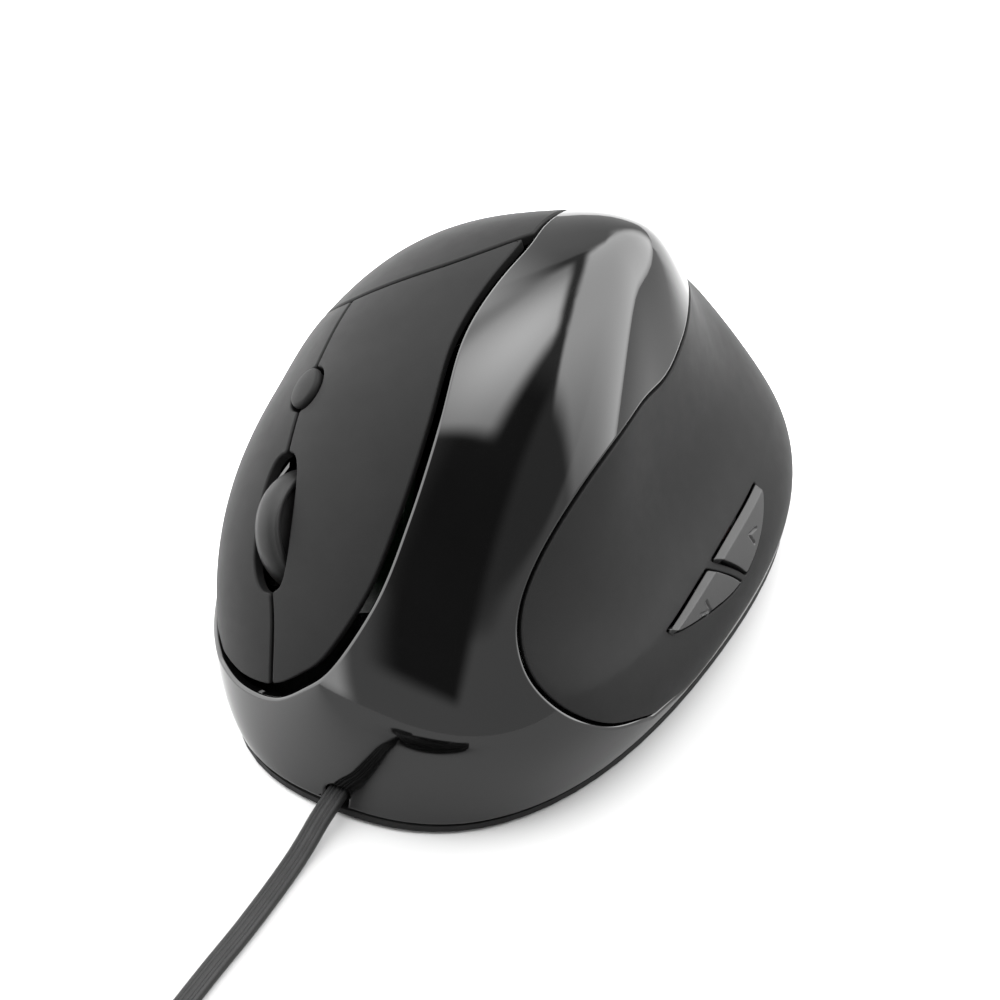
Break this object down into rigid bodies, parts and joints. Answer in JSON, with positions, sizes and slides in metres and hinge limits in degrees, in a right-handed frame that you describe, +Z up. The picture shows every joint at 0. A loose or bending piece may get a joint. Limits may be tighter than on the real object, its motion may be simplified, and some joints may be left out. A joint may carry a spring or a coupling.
{
  "type": "vertical ergonomic mouse",
  "caption": "Right-handed vertical computer mouse with a glossy spine cover, matte side panels, finger and thumb buttons, a scroll wheel and a flat corded plug.",
  "frame": {"origin": "on the desk, under the middle of the housing's bounding box (cord left out)", "axes": "+X to the finger side, +Y forward to the cord end, +Z up from the desk"},
  "size_m": [0.0957, 0.2777, 0.0697],
  "materials": {
    "gloss_cover": "high gloss black",
    "matte_panel": "fine matte soft-touch",
    "side_key": "satin",
    "base_plastic": "fine texture",
    "inner_plastic": "plain moulded",
    "switch_plastic": "plain moulded",
    "plunger_plastic": "plain moulded",
    "wheel_rubber": "matte rubber",
    "steel": "drawn steel",
    "board": "solder mask",
    "lens": "clear",
    "ribbon": "film",
    "glide": "low friction",
    "cord_jacket": "satin jacket",
    "strap": "woven",
    "plug_metal": "plated",
    "tongue_plastic": "plain moulded",
    "contact_metal": "plated"
  },
  "bodies": {
    "housing": {"base_plate": "base_plastic", "spine_cover": "gloss_cover", "thumb_panel": "matte_panel", "palm_panel": "matte_panel", "wheel_encoder": "switch_plastic", "button_pins": "steel", "finger_bracket": "inner_plastic", "finger_board": "board", "left_switch": "switch_plastic", "right_switch": "switch_plastic", "middle_switch": "switch_plastic", "oval_switch": "switch_plastic", "thumb_bracket": "inner_plastic", "thumb_board": "board", "forward_switch": "switch_plastic", "back_switch": "switch_plastic", "main_board": "board", "board_screws": "steel", "optical_sensor": "switch_plastic", "sensor_lens": "lens", "sensor_led": "lens", "board_ribbons": "ribbon", "cord_connector": "inner_plastic", "cord_grommet": "cord_jacket", "cord_lead": "cord_jacket", "base_screws": "steel", "glide_feet": "glide", "cord_free": "cord_jacket", "cord_coil": "cord_jacket", "coil_tie": "strap", "plug_grip": "cord_jacket", "plug_shell": "plug_metal", "plug_tongue": "tongue_plastic", "plug_contacts": "contact_metal"},
    "left_button": {"left_button": "matte_panel"},
    "right_button": {"right_button": "matte_panel"},
    "forward_button": {"forward_button": "side_key"},
    "back_button": {"back_button": "side_key"},
    "oval_button": {"oval_button": "matte_panel"},
    "wheel_carrier": {"wheel_carrier": "inner_plastic"},
    "wheel": {"wheel_hub": "inner_plastic", "wheel_tyre": "wheel_rubber", "wheel_axle": "steel"},
    "left_plunger": {"left_plunger": "plunger_plastic"},
    "right_plunger": {"right_plunger": "plunger_plastic"},
    "middle_plunger": {"middle_plunger": "plunger_plastic"},
    "oval_plunger": {"oval_plunger": "plunger_plastic"},
    "forward_plunger": {"forward_plunger": "plunger_plastic"},
    "back_plunger": {"back_plunger": "plunger_plastic"}
  },
  "joints": [
    {"name": "left_press", "type": "hinge", "parent": "housing", "child": "left_button", "pos_m": [0.014, -0.00632, 0.05629], "axis": [-0.8252, -0.4083, 0.3902], "range_deg": [0, 1.1], "stiffness_Nm_per_rad": 1.6, "springref_deg": -0.57},
    {"name": "right_press", "type": "hinge", "parent": "housing", "child": "right_button", "pos_m": [0.02708, -0.00438, 0.04269], "axis": [-0.8704, 0.0676, 0.4876], "range_deg": [0, 1], "stiffness_Nm_per_rad": 1.2, "springref_deg": -0.57},
    {"name": "wheel_press", "type": "slide", "parent": "housing", "child": "wheel_carrier", "axis": [-0.4212, -0.615, -0.6666], "range_m": [0, 0.0005], "stiffness_N_per_m": 2500, "springref_m": -0.0004},
    {"name": "wheel_turn", "type": "hinge", "parent": "wheel_carrier", "child": "wheel", "pos_m": [0.0196, 0.03153, 0.03236], "axis": [0.8704, -0.0676, -0.4876], "continuous": true},
    {"name": "oval_press", "type": "slide", "parent": "housing", "child": "oval_button", "axis": [-0.6342, -0.3301, -0.6992], "range_m": [0, 0.0005], "stiffness_N_per_m": 1500, "springref_m": -0.0004},
    {"name": "forward_press", "type": "slide", "parent": "housing", "child": "forward_button", "axis": [0.8541, -0.0028, -0.52], "range_m": [0, 0.0005], "stiffness_N_per_m": 1500, "springref_m": -0.0004},
    {"name": "back_press", "type": "slide", "parent": "housing", "child": "back_button", "axis": [0.8541, -0.0028, -0.52], "range_m": [0, 0.0005], "stiffness_N_per_m": 1500, "springref_m": -0.0004},
    {"name": "left_plunge", "type": "slide", "parent": "housing", "child": "left_plunger", "axis": [-0.4212, -0.615, -0.6666], "range_m": [0, 0.0008]},
    {"name": "right_plunge", "type": "slide", "parent": "housing", "child": "right_plunger", "axis": [-0.4212, -0.615, -0.6666], "range_m": [0, 0.0008]},
    {"name": "middle_plunge", "type": "slide", "parent": "housing", "child": "middle_plunger", "axis": [-0.4212, -0.615, -0.6666], "range_m": [0, 0.0005]},
    {"name": "oval_plunge", "type": "slide", "parent": "housing", "child": "oval_plunger", "axis": [-0.4212, -0.615, -0.6666], "range_m": [0, 0.0005]},
    {"name": "forward_plunge", "type": "slide", "parent": "housing", "child": "forward_plunger", "axis": [0.8541, -0.0028, -0.52], "range_m": [0, 0.0005]},
    {"name": "back_plunge", "type": "slide", "parent": "housing", "child": "back_plunger", "axis": [0.8541, -0.0028, -0.52], "range_m": [0, 0.0005]}
  ],
  "couplings": [
    {"joint": "left_plunge", "follows": "left_press", "m_per_rad": 0.036756},
    {"joint": "right_plunge", "follows": "right_press", "m_per_rad": 0.037441},
    {"joint": "middle_plunge", "follows": "wheel_press", "ratio": 1},
    {"joint": "oval_plunge", "follows": "oval_press", "ratio": 0.93619},
    {"joint": "forward_plunge", "follows": "forward_press", "ratio": 1},
    {"joint": "back_plunge", "follows": "back_press", "ratio": 1}
  ]
}
